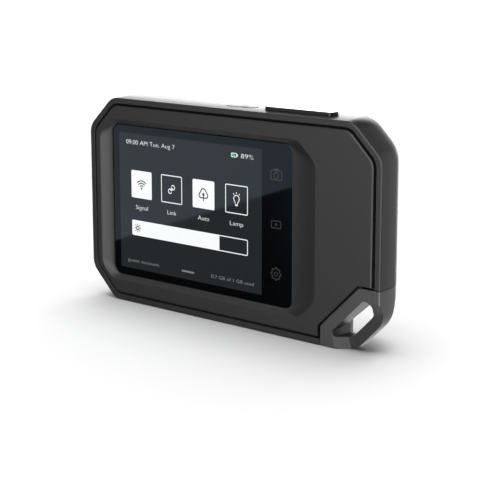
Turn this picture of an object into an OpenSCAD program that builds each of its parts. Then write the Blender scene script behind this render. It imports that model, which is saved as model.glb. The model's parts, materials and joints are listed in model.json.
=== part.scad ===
// Pocket touch-screen inspection camera with a lanyard corner.
// Frame: X to the right as seen from the screen, Y from the screen to the lens side, Z up.
// The case stands on its long edge. The origin is the middle of the base, at half depth.

/* [Body] */
// Width of the case, along X
body_w = 138.1; // [136:0.1:140]
// Height of the case without the raised key, along Z
body_h = 80.3; // [79.5:0.1:81.5]
// Depth of the case from the screen rim to the lens panel, along Y
body_d = 24; // [24:0.1:25]
// Leg of the 45 degree cut at each corner
corner_leg = 12; // [11:0.5:13]
// Radius that softens each end of a corner cut
corner_r = 7; // [3:0.5:8]
// Wall thickness of the rear shell
wall = 2.5; // [2.4:0.1:2.6]

/* [Screen] */
// Width of the cover glass
glass_w = 88.5; // [86:0.1:89]
// Height of the cover glass
glass_h = 59.2; // [57:0.1:59.4]
// Corner radius of the cover glass
glass_r = 3.5; // [2:0.1:5]
// How far the glass lies below the rim
glass_depth = 1.8; // [1.6:0.1:2]
// Width of the lit display area, a 3.5 inch 4 to 3 panel
display_w = 71.1; // [70:0.1:72]
// Height of the lit display area
display_h = 53.3; // [52:0.1:54]

/* [Keys] */
// Length of the raised save key on the top edge
save_len = 29.6; // [26:0.1:30]
// Height that the save key stands above the case
save_proud = 1.3; // [1:0.1:1.6]
// Length of the flush power key
power_len = 13; // [11:0.1:14]
// Travel of the save key
save_travel = 0.8; // [0.4:0.1:0.8]
// Travel of the power key
power_travel = 0.5; // [0.3:0.1:0.5]

/* [Lanyard corner] */
// Width across the lanyard slot
slot_w = 5.8; // [5.8:0.02:6.1]
// How far the lanyard bar is set back from the front
bar_setback = 3.5; // [2.5:0.5:4]

/* [Lens side] */
// Radius of the infrared lens barrel
ir_r = 6; // [5:0.1:6.2]
// Radius of the picture camera barrel
cam_r = 3.2; // [2.6:0.1:3.4]
// Radius of the lamp lens
lamp_r = 3.4; // [2.8:0.1:3.6]
// Minor radius of the 1/4 inch 20 UNC tripod thread
tripod_r = 2.55; // [2.5:0.01:2.6]

/* [Hidden] */
$fn = 48;

// Depth stations, from the screen rim at the front to the lens panel at the back.
y_rim = -body_d / 2;
y_band = y_rim + 0.5;
y_glass = y_rim + glass_depth;
y_plate_back = y_rim + 2.4;
y_frame = -7.1;
y_board = -4.4;
y_back = body_d / 2 - 0.8;
y_panel = body_d / 2;
frame_t = 1;
board_t = 1.2;
glass_t = 0.9;

// Half width, and the arcs that carry the walls round to the back.
hw = body_w / 2;
side_r = 22;
side_start = -8.2;
top_r = 9.5;
top_start = 3;
back_edge_r = 1.2;
arc_steps = 4;

// Seam round the front plate, and the width of the band outside it.
band_w = 2.55;
seam = 0.7;

// Growth of the corner radius per millimetre towards the lens side.
corner_spread = 0.3;

// Screen position: the glass sits left of the middle, which leaves a thumb rest.
glass_x0 = -57.6;
glass_z0 = 10.55;
glass_x1 = glass_x0 + glass_w;
glass_z1 = glass_z0 + glass_h;
glass_gap = 0.25;
lip = 0.3;
rim_x0 = -63.25;
rim_x1 = 42.15;
rim_z0 = 8.3;
rim_z1 = 71.9;
rim_r = 7;
display_x0 = -54.28;
display_z0 = 13.44;

// Keys on the top edge.
save_x = 29.75;
save_y = -4.3;
save_d = 4.9;
power_x = 2.2;
power_y = -3.4;
power_d = 4.8;
key_gap = 0.2;
key_flange = 0.8;

// Lanyard corner, seen from the front: lines of constant X - Z run along the slot.
loop_x0 = 44.1;
loop_top = 23.5;
loop_gap = 0.35;
loop_line = 36.9;
loop_r = 2;
slot_line = 47.15;
slot_half = slot_w * sqrt(2) / 2;
slot_top = 19;
slot_right = 65.2;
slot_bottom = 4.2;
slot_tip = 6.2;
slot_end = 50;
slot_taper = 1.2;
bar_back = -3;

// Optics on the lens side, as X and Z of each centre.
ir_at = [-28, 57.5];
cam_at = [-42.5, 60.5];
lamp_at = [-50.5, 52];
panel_x0 = -57;
panel_x1 = -16.5;
panel_z0 = 45;
panel_z1 = 69.6;

// Case screws as X and Z, and the radii that they share.
screws_at = [[-46, 73], [-10, 73], [50, 70.5], [-46, 7.2], [-12, 7.2], [28, 7.2]];
screw_r = 1;
head_r = 2.1;
head_h = 1.7;
boss_r = 3;
y_head = 8.9;
board_screws_at = [[-58, 15], [-58, 60], [-11.5, 60], [36, 15]];
bracket_screws_at = [[-13.8, 50], [-50, 62]];

// Charging socket in the left wall, under its cover.
usb_z = 30;
usb_y = -1.58;
usb_w = 9;
usb_h = 3.2;
well_x = -65.6;
cover_y0 = -5.6;
cover_y1 = 1.8;
cover_len = 18;
cover_pin_x = -68.1;
cover_pin_r = 0.75;

// Battery block
battery_x0 = -9;
battery_z0 = 13.5;
battery_size = [51, 7, 49];
battery_y0 = -2.4;

// Tripod bush
bush_y = -0.4;
bush_r = 4.5;
bush_h = 7.5;

function unit(v) = v / norm(v);
function turned(v, a) = [v.x * cos(a) - v.y * sin(a), v.x * sin(a) + v.y * cos(a)];

// Points of an arc of radius r that rounds corner p1 between p0 and p2, in n steps.
function fillet(p0, p1, p2, r, n) =
    let (d1 = unit(p1 - p0), d2 = unit(p2 - p1),
         turn = atan2(d1.x * d2.y - d1.y * d2.x, d1 * d2),
         n1 = [-d1.y, d1.x],
         c = p1 - d1 * r * tan(turn / 2) + n1 * r)
    [for (i = [0:n]) c - r * turned(n1, turn * i / n)];

// Rectangle with its corners cut by legs [bottom left, bottom right, top right, top left].
function cut_rect(x0, x1, z0, z1, legs, r) =
    let (v = [[x0 + legs[0], z0], [x1 - legs[1], z0], [x1, z0 + legs[1]], [x1, z1 - legs[2]],
              [x1 - legs[2], z1], [x0 + legs[3], z1], [x0, z1 - legs[3]], [x0, z0 + legs[0]]])
    [for (i = [0:7]) each fillet(v[(i + 7) % 8], v[i], v[(i + 1) % 8], r, arc_steps)];

// A rectangle with round corners of radius r, as a cut_rect so that it lofts to one.
function round_rect(x0, x1, z0, z1, r) =
    let (leg = r * (2 - sqrt(2)) + 0.06)
    cut_rect(x0, x1, z0, z1, [leg, leg, leg, leg], r);

// Inset of the side and of the top and base at depth y, for a surface w inside the skin.
function arc_in(y, r, start, w) =
    let (t = max(0, y - start)) r - sqrt(max(0.01, (r - w) * (r - w) - t * t));
function edge_soft(y, w) =
    let (t = max(0, y - (y_back - back_edge_r)))
    w > 0 ? 0 : back_edge_r - sqrt(back_edge_r * back_edge_r - t * t);
function side_in(y, w) = arc_in(y, side_r, side_start, w) + edge_soft(y, w);
function top_in(y, w) = arc_in(y, top_r, top_start, w) + edge_soft(y, w);

// Section of the case at depth y, w inside the skin and e further in along a chamfer.
function section(y, w, e) =
    let (ix = side_in(y, w) + e, iz = top_in(y, w) + e,
         leg = corner_leg - (2 - sqrt(2)) * (ix + iz) / 2,
         r = max(1.5, corner_r + corner_spread * max(0, y - y_band) - (ix + iz) / 4))
    cut_rect(-hw + ix, hw - ix, iz, body_h - iz, [leg, leg, leg, leg], r);
function ring(y, w = 0, e = 0) = [for (p = section(y, w, e)) [p.x, y, p.y]];

// Closed solid through rings that hold the same number of points.
module loft(rings) {
    n = len(rings[0]);
    m = len(rings);
    polyhedron(
        points = [for (r = rings) each r],
        faces = concat(
            [[for (i = [n - 1:-1:0]) i]],
            [for (k = [0:m - 2], i = [0:n - 1])
                [k * n + i, k * n + (i + 1) % n, (k + 1) * n + (i + 1) % n, (k + 1) * n + i]],
            [[for (i = [0:n - 1]) (m - 1) * n + i]]));
}

// Outline in X and Z, extruded from y0 to y1.
module slab(points, y0, y1) {
    translate([0, y1, 0]) rotate([90, 0, 0]) linear_extrude(y1 - y0) polygon(points);
}
module rod(at, r, y0, y1) {
    translate([at[0], y1, at[1]]) rotate([90, 0, 0]) cylinder(r = r, h = y1 - y0);
}
module block(x0, x1, y0, y1, z0, z1) {
    translate([x0, y0, z0]) cube([x1 - x0, y1 - y0, z1 - z0]);
}
// Plate with round corners that lies flat, with its faces at z0 and z1.
module tablet(x, y, len, wid, r, z0, z1) {
    translate([x, y, z0]) linear_extrude(z1 - z0)
        hull() for (i = [-1, 1], j = [-1, 1])
            translate([i * (len / 2 - r), j * (wid / 2 - r)]) circle(r = r, $fn = 32);
}

module outer_skin() {
    loft([ring(y_band, 0, 0.3), ring(y_band + 0.3), for (y = [side_start:2.8:y_back - 2.4]) ring(y),
          ring(y_back - back_edge_r), ring(y_back - 0.7), ring(y_back - 0.3), ring(y_back - 0.08),
          ring(y_back)]);
}
module inner_space(y1 = y_back - 1.8) {
    loft([ring(y_rim - 1, wall), ring(side_start, wall), for (y = [-5.4:2.8:y1 - 1.4]) ring(y, wall),
          ring(y1, wall)]);
}

// The corner that the lanyard piece fills, grown by g, over a depth of y0 to y1.
module loop_zone(g, y0 = y_rim - 2, y1 = y_panel + 2) {
    far = 20;
    k = g * (sqrt(2) - 1);
    r = loop_r + g;
    slab(rounded([[loop_x0 - g, -far], [hw + far, -far], [hw + far, loop_top + g],
                  [loop_top + loop_line - k, loop_top + g], [loop_x0 - g, loop_x0 - loop_line + k]],
                 [0.01, 0.01, 0.01, r, r], 4),
         y0, y1);
}
// Round every corner of a polygon, corner i by radius r[i].
function rounded(v, r, n) =
    let (m = len(v))
    [for (i = [0:m - 1]) each fillet(v[(i + m - 1) % m], v[i], v[(i + 1) % m], r[i], n)];
// Outline of the slot. Its low end moves in by t towards the back.
function slot_outline(t) =
    let (lo = slot_line - slot_half, hi = slot_line + slot_half)
    rounded([[lo + slot_tip + t, slot_tip + t], [slot_end + t, slot_bottom], [hi + slot_bottom, slot_bottom],
             [slot_right, slot_right - hi], [slot_right, slot_top], [lo + slot_top, slot_top]],
            [0.6, 0.4, 1.5, 2.5, 2.2, 0.8], 4);

// ---- Casing ----

module plate_recess() {
    n = arc_steps;
    far_rim = cut_rect(rim_x0, rim_x1, rim_z0, rim_z1, [5.5, 7, 8, 6], rim_r);
    near = round_rect(glass_x0 - glass_gap, glass_x1 + glass_gap, glass_z0 - glass_gap,
                      glass_z1 + glass_gap, glass_r + glass_gap);
    slope = 1 + 0.5 / (glass_depth - lip);
    loft([[for (i = [0:len(near) - 1]) let (p = near[i] + (far_rim[i] - near[i]) * slope) [p.x, y_rim - 0.5, p.y]],
          [for (p = near) [p.x, y_glass - lip, p.y]]]);
    slab(near, y_glass - lip - 0.01, y_plate_back + 1);
}
module front_plate() color("#3a3b3b") {
    inset = band_w + seam;
    difference() {
        union() {
            difference() {
                loft([ring(y_rim, 0, inset + 0.35), ring(y_rim + 0.35, 0, inset), ring(y_plate_back, 0, inset)]);
                plate_recess();
                loop_zone(seam);
            }
            for (p = screws_at) rod(p, boss_r - 0.4, y_plate_back - 0.3, y_frame - 0.05);
        }
        for (p = screws_at) rod(p, screw_r, y_plate_back - 0.2, y_frame);
    }
}
// Hollow of the rear shell. The bosses and the walls round each pocket are left standing in it.
module shell_hollow() difference() {
    inner_space();
    loop_zone(loop_gap / 2 + 2, y_plate_back + 0.05);
    for (p = screws_at) rod(p, boss_r, y_frame + frame_t + 0.05, y_panel);
    block(-hw - 1, well_x + 1.4, y_frame + frame_t + 0.05, 3.6, usb_z - 11, usb_z + 11);
    translate([0, bush_y, -1]) cylinder(r = bush_r + 1.2, h = bush_h + 2.2);
}
module key_hole(x, y, len, wid, r) {
    tablet(x, y, len + 2 * key_gap, wid + 2 * key_gap, r, body_h - wall - 2, body_h + 3);
}
module cover_pocket(g) {
    z0 = usb_z - cover_len / 2 - g;
    h = cover_len + 2 * g;
    block(-hw - 2, well_x, cover_y0, cover_y1 + g, z0, z0 + h);
    translate([cover_pin_x, cover_y0, z0]) cylinder(r = cover_pin_r + 0.4, h = h);
}
module rear_shell() color("#333434") difference() {
    outer_skin();
    shell_hollow();
    loop_zone(0);
    for (p = screws_at) {
        rod(p, screw_r + 0.15, y_rim, y_back + 1);
        rod(p, head_r + 0.2, y_head, y_back + 1);
    }
    key_hole(save_x, save_y, save_len, save_d, 1.4);
    key_hole(power_x, power_y, power_len, power_d, power_d / 2 + key_gap - 0.01);
    cover_pocket(0.3);
    block(well_x - 1, well_x + 3, usb_y - usb_h / 2 - 0.2, usb_y + usb_h / 2 + 0.2,
          usb_z - usb_w / 2 - 0.2, usb_z + usb_w / 2 + 0.2);
    translate([0, bush_y, -1]) cylinder(r = bush_r + 0.02, h = bush_h + 1);
    slab(cut_rect(panel_x0 - 0.1, panel_x1 + 0.1, panel_z0 - 0.1, panel_z1 + 0.1, [4, 4, 4, 6], 1.5),
         y_back - 0.6, y_panel + 1);
    rod(ir_at, ir_r + 0.3, 0, y_panel);
    rod(cam_at, cam_r + 0.3, 0, y_panel);
    rod(lamp_at, lamp_r + 0.3, 0, y_panel);
    slab(pad_outline(0.1), y_back - 0.4, y_panel + 1);
    slab(label_outline(0.1), y_back - 0.25, y_panel + 1);
    slab(lug_outline(0.3), y_frame + frame_t - 0.3, y_frame + frame_t + 3.4);
    bar_scoop();
}
function pad_outline(g) = cut_rect(-6 - g, 51 + g, 15 - g, 65 + g, [4, 16, 4, 4], 2);
function label_outline(g) = round_rect(-52 - g, -16 + g, 15 - g, 36 + g, 1.5);

// Space in front of the bar, which is set back between two slopes.
module bar_relief() {
    far = hw + 8;
    low = 49.4;
    run = 4.2;
    drop = 4;
    function step(y, t) = [for (p = [[low + t * run, 5.5], [low + 2.2 + t * run, -4], [far, -4],
                                     [far, slot_top - t * drop], [low + 13.6 + t * run, slot_top - t * drop]])
                           [p.x, y, p.y]];
    loft([step(y_band - 0.9, -0.9 / bar_setback), step(y_band + bar_setback, 1)]);
}
// Space behind the bar. Towards the lens side its left wall falls away and its top curves up.
module bar_scoop() {
    far = hw + 8;
    lo = slot_line - slot_half;
    // Section at depth y: left is its X at the left, rise moves its slanted side up, top is its Z at the top.
    function step(y, left, rise, top) = [for (p = [[left, -4], [far, -4], [far, top], [lo - rise + top, top],
                                                   [left, left - lo + rise]])
                                         [p.x, y, p.y]];
    loft([step(bar_back, 50.9, 0, 10), step(bar_back + 2, 50.2, 1.1, 15), step(bar_back + 4.5, 49.2, 2.4, 18.6),
          step(bar_back + 8, 46.7, 3.9, 20.6), step(y_panel + 2, 40.6, 6.2, 21.8)]);
}
// Tongue that reaches from the lanyard corner into the case, and the screw that holds it.
lug_at = [45.2, 17.4];
function lug_outline(g) =
    let (k = g * sqrt(2))
    [[42 - k, 17.4], [45.2, 20.6 + k], [51.9 + g, 13.9 + g], [48.7 - g, 10.7 - g]];
module lanyard_loop() color("#454646") difference() {
    union() {
        intersection() {
            outer_skin();
            loop_zone(-loop_gap / 2, y_rim - 1, y_back - 0.5);
        }
        slab(lug_outline(0), y_frame + frame_t + 0.05, y_frame + frame_t + 3.05);
    }
    loft([for (y = [y_rim - 1, y_band, bar_back, y_panel + 1])
          [for (p = slot_outline(y < bar_back ? 0 : slot_taper)) [p.x, y, p.y]]]);
    bar_relief();
    bar_scoop();
    rod(lug_at, screw_r + 0.1, y_rim + 2, y_back);
}
// Seal between the two halves of the case. Its lip fills the seam round the front plate.
module case_gasket() color("#0c0c0c") difference() {
    slab(section(-10, wall + 0.05, 0), y_band + 0.4, y_frame - 1.75);
    slab(section(-10, band_w + seam - 0.05, 0), y_rim, y_plate_back + 0.02);
    slab(section(-10, 4.4, 0), y_rim, 0);
    loop_zone(loop_gap / 2 + 2.1);
}

// ---- Screen ----

module touch_glass() color("#0a0c0e")
    slab(round_rect(glass_x0, glass_x1, glass_z0, glass_z1, glass_r), y_glass, y_glass + glass_t);
module display_panel() color("#24272a")
    block(display_x0 - 2, display_x0 + display_w + 3.7, y_glass + glass_t + 0.05, y_frame - 0.85,
          display_z0 - 1.3, display_z0 + display_h + 1.3);
module display_frame() color("#8a8d90") difference() {
    block(display_x0 - 2.4, display_x0 + display_w + 4.1, y_frame - 0.8, y_frame - 0.05,
          display_z0 - 1.6, display_z0 + display_h + 1.6);
    block(display_x0 + 4, display_x0 + display_w - 4, y_rim, 0, display_z0 + 4, display_z0 + display_h - 4);
}
module display_cable() color("#b5701c") {
    block(-30, -14, y_frame + frame_t + 0.1, y_frame + frame_t + 0.3, 24, 44);
    block(-30, -14, y_frame - 0.04, y_frame + frame_t + 0.11, 43.6, 44);
}

// ---- Inner frame and electronics ----

module inner_frame() color("#9a9ea2") difference() {
    union() {
        slab(section(y_frame, 2.9, 0), y_frame, y_frame + frame_t);
        difference() {
            slab(section(y_frame, 2.9, 0), y_frame - 1.75, y_frame);
            slab(section(y_frame, 4.4, 0), y_rim, y_frame + 1);
        }
        for (p = board_screws_at) rod(p, 2.2, y_frame, y_board - 0.02);
    }
    loop_zone(2.9);
    rod(lug_at, screw_r + 0.02, y_frame - 0.5, 0);
    for (p = screws_at) rod(p, boss_r - 0.1, y_rim, y_frame + 0.01);
    for (p = screws_at) rod(p, screw_r + 0.3, y_rim, 0);
    for (p = board_screws_at) rod(p, 0.8, y_frame + 0.3, 0);
    block(power_x - 9.5, save_x + 18, y_frame - 0.4, 0, 69.5, body_h);
    block(-30.5, -13.5, y_frame - 0.1, 0, 43, 44.5);
}
module main_board() color("#14512e") difference() {
    slab([[-62, 11.5], [41, 11.5], [41, 64], [-62, 64]], y_board, y_board + board_t);
    for (p = board_screws_at) rod(p, 1, y_board - 1, 0);
    for (p = [[-46, 7.2], [-12, 7.2], [28, 7.2]]) rod(p, boss_r + 0.4, y_board - 1, 0);
    block(-63, well_x + 4.2, y_board - 1, 0, usb_z - 11.5, usb_z + 11.5);
}
module processor_shield() color("#b9bcc0")
    block(-44, -16, y_board + board_t + 0.02, y_board + board_t + 1.9, 15, 38);
module memory_chips() color("#161616")
    for (z = [36, 45]) block(-55, -46.5, y_board + board_t + 0.02, y_board + board_t + 0.5, z, z + 6);
module board_connectors() color("#d8d2c0") {
    block(-32, -12, y_board - 1.3, y_board - 0.02, 24.5, 29);
    block(-14.6, -10.4, y_board + board_t + 0.02, y_board + board_t + 2.6, 40, 46);
    block(20, 32, y_board - 1.2, y_board - 0.02, 58, 62);
}
module battery() color("#2f4a6b")
    translate([battery_x0, battery_y0, battery_z0]) cube(battery_size);
module battery_cable() color("#a02020")
    block(-14, battery_x0 - 0.05, -0.55, 0.35, 41, 44.5);
module battery_pads() color("#5a5a5a")
    for (z = [18, 50])
        block(battery_x0 + 4, battery_x0 + 49, battery_y0 + battery_size.y + 0.02, y_back - 1.85, z, z + 6);
module radio_antenna() color("#b5701c")
    block(-40, -14, -5, 4, 76.7, 77.1);

// ---- Keys ----

module key(x, y, len, wid, r, top) {
    under = body_h - wall;
    tablet(x, y, len, wid, r, under - 0.4, top);
    tablet(x, y, len + 2.4, wid + 0.9, r + 0.3, under - 0.05 - key_flange, under - 0.05);
    tablet(x, y, 5, 3, 1, under - 3, under - key_flange);
}
module save_key() color("#161616") key(save_x, save_y, save_len, save_d, 1.2, body_h + save_proud);
module power_key() color("#3a3b3b")
    key(power_x, power_y, power_len, power_d, power_d / 2 - 0.01, body_h + 0.1);
module key_board() color("#14512e")
    block(power_x - 8, save_x + 16, -5.9, 0.2, 70.6, 71.4);
module switch_at(x, y, gap) {
    top = body_h - wall - 3 - gap;
    block(x - 3, x + 3, y - 1.8, y + 1.8, 71.42, top - 0.5);
    translate([x, y, top - 0.6]) cylinder(r = 1.1, h = 0.6);
}
module save_switch() color("#c9c9c9") switch_at(save_x, save_y, save_travel + 0.15);
module power_switch() color("#c9c9c9") switch_at(power_x, power_y, power_travel + 0.15);

// ---- Charging socket ----

module usb_socket() color("#c0c2c4") difference() {
    block(well_x + 1.5, well_x + 8.9, usb_y - usb_h / 2, usb_y + usb_h / 2, usb_z - usb_w / 2, usb_z + usb_w / 2);
    difference() {
        translate([well_x + 1, usb_y, usb_z]) rotate([0, 90, 0]) linear_extrude(6.5)
            hull() for (s = [-1, 1]) translate([s * (usb_w / 2 - 1.6), 0]) circle(r = usb_h / 2 - 0.3);
        block(well_x + 2.5, well_x + 8, usb_y - 0.35, usb_y + 0.35, usb_z - 3.1, usb_z + 3.1);
    }
}
module usb_cover() color("#1d1d1d") {
    z0 = usb_z - cover_len / 2;
    translate([0, 0, z0]) linear_extrude(cover_len)
        polygon([for (y = [cover_y0 + 0.3:0.71:cover_y1 + 0.01]) [-hw + side_in(y, 0), y],
                 [well_x - 0.6, cover_y1], [well_x - 0.05, cover_y1 - 0.8],
                 [well_x - 0.05, cover_y0 + 0.8], [cover_pin_x, cover_y0 + 0.3]]);
    translate([cover_pin_x, cover_y0, z0]) cylinder(r = cover_pin_r, h = cover_len);
    block(well_x - 0.2, well_x + 1, usb_y - 1.4, usb_y + 0.8, usb_z - 3.9, usb_z + 3.9);
}

// ---- Optics ----

module lens_panel() color("#0b0b0c") difference() {
    slab(cut_rect(panel_x0, panel_x1, panel_z0, panel_z1, [4, 4, 4, 6], 1.5), y_back - 0.57, y_panel);
    rod(ir_at, ir_r + 0.15, 0, y_panel + 1);
    rod(cam_at, cam_r + 0.15, 0, y_panel + 1);
    rod(lamp_at, lamp_r + 0.15, 0, y_panel + 1);
}
module infrared_barrel() color("#2a2a2c") translate([ir_at[0], 0, ir_at[1]]) rotate([-90, 0, 0])
    rotate_extrude() polygon([[4.3, 5.1], [ir_r, 5.1], [ir_r, y_panel - 0.5], [ir_r - 0.4, y_panel - 0.1],
                              [ir_r - 0.9, y_panel - 0.1], [4.7, y_panel - 1.4], [4.3, y_panel - 1.4]]);
module infrared_lens() color("#6b5f6e") translate([ir_at[0], 0, ir_at[1]]) rotate([-90, 0, 0])
    intersection() {
        translate([0, 0, 8]) cylinder(r = 4.25, h = 3.4);
        translate([0, 0, 10.2 - 15]) sphere(r = 15);
    }
module infrared_core() color("#55585c") {
    block(ir_at[0] - 11, ir_at[0] + 11, -2.3, 5, ir_at[1] - 10.5, ir_at[1] + 10.5);
}
module optics_bracket() color("#a5a8ab") difference() {
    union() {
        slab([[-57, 45.5], [-12, 45.5], [-12, 68.6], [-57, 68.6]], 6.2, 7.4);
        for (p = bracket_screws_at) rod(p, 1.6, y_board + board_t + 0.02, 6.3);
    }
    rod(ir_at, ir_r + 0.1, 5, 9);
    rod(cam_at, 2.6, 5, 9);
    for (p = bracket_screws_at) rod(p, 0.87, 2, 9);
}
module camera_module() color("#202224")
    block(cam_at[0] - 3.25, cam_at[0] + 3.25, 2, 6.15, cam_at[1] - 4.25, cam_at[1] + 4.25);
module camera_barrel() color("#1a1a1c") translate([cam_at[0], 0, cam_at[1]]) rotate([-90, 0, 0])
    rotate_extrude() polygon([[1.6, 7.45], [cam_r, 7.45], [cam_r, y_panel - 0.3], [cam_r - 0.4, y_panel - 0.3],
                              [2, y_panel - 1.2], [1.6, y_panel - 1.2]]);
module camera_lens() color("#1b2740") translate([cam_at[0], 0, cam_at[1]]) rotate([-90, 0, 0])
    intersection() {
        translate([0, 0, 9]) cylinder(r = 1.57, h = 2);
        translate([0, 0, 10.7 - 4]) sphere(r = 4);
    }
module lamp_board() color("#d9dde0")
    block(lamp_at[0] - 4, lamp_at[0] + 4, 7.45, 8.15, lamp_at[1] - 4, lamp_at[1] + 4);
module lamp_led() color("#f2e59a")
    block(lamp_at[0] - 1.6, lamp_at[0] + 1.6, 8.2, 9, lamp_at[1] - 1.6, lamp_at[1] + 1.6);
module lamp_lens() color("#e8ecf0") rod(lamp_at, lamp_r, 9.1, y_panel - 0.2);
module lens_gasket() color("#0c0c0c") difference() {
    rod(ir_at, ir_r + 1.6, 7.45, 9.35);
    rod(ir_at, ir_r + 0.05, 7, 10);
}

// ---- Lens side trim ----

module grip_pad() color("#1c1c1c") difference() {
    slab(pad_outline(0), y_back - 0.38, y_panel - 0.1);
    for (i = [0:8]) {
        x = 0 + i * 5.5;
        block(x, x + 1.6, y_panel - 0.45, y_panel + 1, 19 + max(0, i - 6) * 5.5, 61);
    }
}
module rating_label() color("#606264") slab(label_outline(0), y_back - 0.24, y_back - 0.04);

// ---- Fasteners ----

module screw(at, y_tip, y_seat, r, head, height) {
    difference() {
        union() {
            rod(at, r, y_tip, y_seat + 0.01);
            rod(at, head, y_seat, y_seat + height);
        }
        translate([at[0], y_seat + height + 0.01, at[1]]) rotate([90, 0, 0])
            cylinder(r = head * 0.5, h = height * 0.6, $fn = 6);
    }
}
module case_screws() color("#3b3c3e")
    for (p = screws_at) screw(p, y_plate_back + 0.3, y_head + 0.02, screw_r - 0.03, head_r, head_h);
module board_screws() color("#b8b8b8")
    for (p = board_screws_at) screw(p, y_frame + 0.5, y_board + board_t + 0.02, 0.77, 1.5, 0.7);
module bracket_screws() color("#b8b8b8")
    for (p = bracket_screws_at) screw(p, 3, 7.42, 0.85, 1.5, 0.7);
module loop_screw() color("#b8b8b8")
    screw(lug_at, y_frame + frame_t - 0.9, y_frame + frame_t + 3.07, screw_r, 1.8, 1);
module tripod_bush() color("#b08d3c") translate([0, bush_y, 0]) difference() {
    cylinder(r = bush_r, h = bush_h - 0.05);
    translate([0, 0, -1]) cylinder(r = tripod_r, h = bush_h - 0.5);
}

front_plate();
rear_shell();
lanyard_loop();
case_gasket();
touch_glass();
display_panel();
display_frame();
inner_frame();
main_board();
processor_shield();
memory_chips();
display_cable();
board_connectors();
battery();
battery_cable();
battery_pads();
save_key();
power_key();
key_board();
save_switch();
power_switch();
radio_antenna();
usb_socket();
usb_cover();
lens_panel();
infrared_barrel();
infrared_lens();
infrared_core();
optics_bracket();
camera_barrel();
camera_lens();
camera_module();
lamp_lens();
lamp_led();
lamp_board();
lens_gasket();
grip_pad();
rating_label();
case_screws();
board_screws();
bracket_screws();
loop_screw();
tripod_bush();
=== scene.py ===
import json
import math

import bmesh
import bpy
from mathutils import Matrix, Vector

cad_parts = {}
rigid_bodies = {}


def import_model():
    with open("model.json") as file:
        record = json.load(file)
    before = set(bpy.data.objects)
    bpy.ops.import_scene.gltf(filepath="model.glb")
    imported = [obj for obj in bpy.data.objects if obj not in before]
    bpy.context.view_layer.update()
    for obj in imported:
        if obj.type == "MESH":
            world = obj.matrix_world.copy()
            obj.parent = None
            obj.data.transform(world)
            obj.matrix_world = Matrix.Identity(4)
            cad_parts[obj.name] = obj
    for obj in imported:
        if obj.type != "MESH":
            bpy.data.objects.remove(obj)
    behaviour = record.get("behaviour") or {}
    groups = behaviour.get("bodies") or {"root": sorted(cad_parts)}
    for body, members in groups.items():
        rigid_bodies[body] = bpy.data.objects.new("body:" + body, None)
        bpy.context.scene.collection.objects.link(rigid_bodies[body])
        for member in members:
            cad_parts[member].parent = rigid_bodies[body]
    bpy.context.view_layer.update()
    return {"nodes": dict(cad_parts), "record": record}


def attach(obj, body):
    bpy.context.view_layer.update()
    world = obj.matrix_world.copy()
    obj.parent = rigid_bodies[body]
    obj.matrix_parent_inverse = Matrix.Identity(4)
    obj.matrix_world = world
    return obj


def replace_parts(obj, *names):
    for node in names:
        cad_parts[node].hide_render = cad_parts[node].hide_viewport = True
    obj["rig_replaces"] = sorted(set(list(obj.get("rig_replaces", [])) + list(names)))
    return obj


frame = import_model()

MM = 0.001
NODES = frame["nodes"]

# ---------------------------------------------------------------- dimensions, mm
HW, BODY_H = 69.05, 80.3
Y_RIM, Y_BAND, Y_GLASS, Y_BACK, Y_PANEL = -12.0, -11.5, -10.2, 11.2, 12.0
PLATE_BACK = -9.6
WALL, BAND, SEAM = 2.5, 2.55, 0.7
CORNER_LEG, CORNER_R, CORNER_SPREAD = 12.0, 7.0, 0.3
SIDE_R, SIDE_START, TOP_R, TOP_START, EDGE_R = 22.0, -8.2, 9.5, 3.0, 1.2
CROWN, CROWN_Y = 0.006, -4.0
OUTSIDE = 8  # how far a cut reaches past the side of the case
GLASS = (-57.6, 30.9, 10.55, 69.75)
GLASS_R = 3.5
RIM, RIM_R = (-63.25, 42.15, 8.3, 71.9), 7.0
# Worn front edge of a moulding: (depth behind its face, inset from its side).
EDGE = [(0.0, 0.66), (0.03, 0.56), (0.22, 0.14), (0.27, 0.07), (0.36, 0.02), (0.46, 0.0)]
SAVE = (29.75, -4.3, 29.6, 4.9)
POWER = (2.2, -3.4, 13.0, 4.8)
LOOP_X, LOOP_TOP, LOOP_LINE, LOOP_GAP, LOOP_R = 44.1, 23.5, 36.9, 0.35, 2.0
SLOT_LO, SLOT_HI, SLOT_TOP, SLOT_RIGHT, SLOT_BOTTOM = 43.05, 51.25, 19.0, 65.2, 4.2
SLOT_TIP, SLOT_END, SLOT_TAPER, BAR_BACK = 6.2, 50.0, 1.2, -3.0
USB_Z, USB_Y, WELL_X, COVER_Y0, COVER_Y1, COVER_LEN = 30.0, -1.58, -65.6, -5.6, 1.8, 18.0
PIN_X, PIN_R = -68.1, 0.75
IR_AT, CAM_AT, LAMP_AT = (-28.0, 57.5), (-42.5, 60.5), (-50.5, 52.0)
SCREWS = [(-46, 73), (-10, 73), (50, 70.5), (-46, 7.2), (-12, 7.2), (28, 7.2)]


# ---------------------------------------------------------------- outlines
def fillet(p0, p1, p2, r, n):
    """Points of the arc that rounds corner p1 between p0 and p2."""
    a, b, c = Vector(p0), Vector(p1), Vector(p2)
    d1, d2 = (b - a).normalized(), (c - b).normalized()
    turn = math.atan2(d1.x * d2.y - d1.y * d2.x, d1.dot(d2))
    n1 = Vector((-d1.y, d1.x))
    mid = b - d1 * (r * math.tan(turn / 2)) + n1 * r
    out = []
    for i in range(n + 1):
        t = turn * i / n
        out.append(tuple(mid - r * Vector((n1.x * math.cos(t) - n1.y * math.sin(t),
                                           n1.x * math.sin(t) + n1.y * math.cos(t)))))
    return out


def rounded(v, r, n):
    m = len(v)
    rr = r if isinstance(r, (list, tuple)) else [r] * m
    return [p for i in range(m) for p in fillet(v[i - 1], v[i], v[(i + 1) % m], rr[i], n)]


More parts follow.
